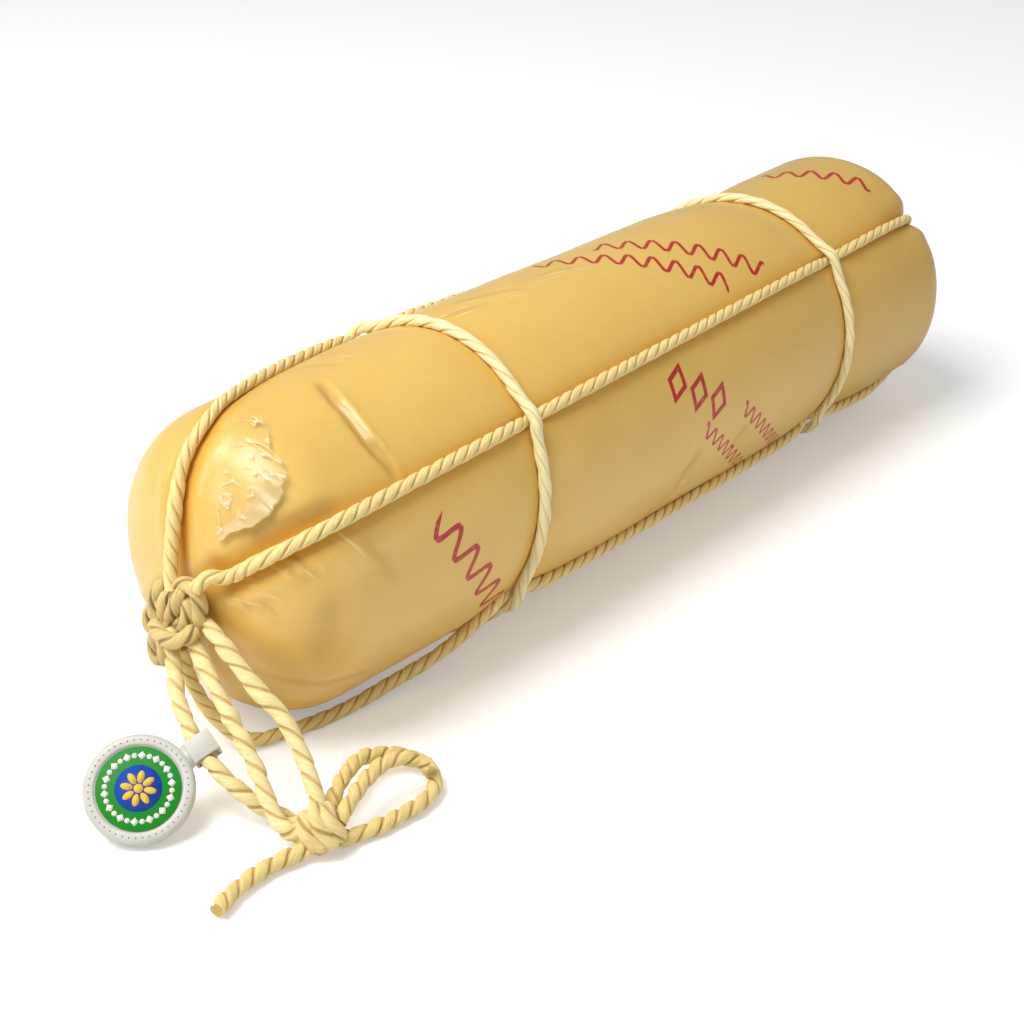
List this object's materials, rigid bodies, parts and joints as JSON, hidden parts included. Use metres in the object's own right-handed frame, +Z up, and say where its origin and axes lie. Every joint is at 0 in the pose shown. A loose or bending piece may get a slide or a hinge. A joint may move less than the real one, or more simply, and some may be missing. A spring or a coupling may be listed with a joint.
{
  "type": "tied provolone",
  "caption": "Long provolone in smooth clear film, lying on its side in a net of twisted cord, with a slip knot, bow and round tag on the loose cords.",
  "frame": {"origin": "on the flat spot under the belly, below the middle of the log's length", "axes": "+X along the log towards its far end, +Z up out of the floor"},
  "size_m": [0.5563, 0.1729, 0.1331],
  "materials": {
    "cheese": "pale yellow cheese under smooth glossy clear film",
    "torn_film": "torn clear wrapping film, glossy",
    "cord_front_back": "twisted pale straw paper cord",
    "cord_top_under": "twisted pale straw paper cord",
    "near_ring": "twisted pale straw paper cord",
    "far_ring": "twisted pale straw paper cord",
    "knot_end": "tight knot of duller cord",
    "tag_cord": "twisted pale straw paper cord",
    "strand_left": "twisted pale straw paper cord",
    "strand_right": "twisted pale straw paper cord",
    "knot_low": "slip knot of pale straw cord",
    "bow_outer": "twisted pale straw paper cord",
    "bow_inner": "twisted pale straw paper cord",
    "tail": "twisted pale straw paper cord",
    "tag": "satin light grey moulded plastic",
    "tag_print": "printed disc, green ring with plain pattern round a blue centre"
  },
  "bodies": {
    "root": {"cheese": "cheese", "torn_film": "torn_film", "cord_front_back": "cord_front_back", "cord_top_under": "cord_top_under", "near_ring": "near_ring", "far_ring": "far_ring", "knot_end": "knot_end", "tag_cord": "tag_cord", "strand_left": "strand_left", "strand_right": "strand_right", "knot_low": "knot_low", "bow_outer": "bow_outer", "bow_inner": "bow_inner", "tail": "tail", "tag": "tag", "tag_print": "tag_print"}
  },
  "joints": []
}
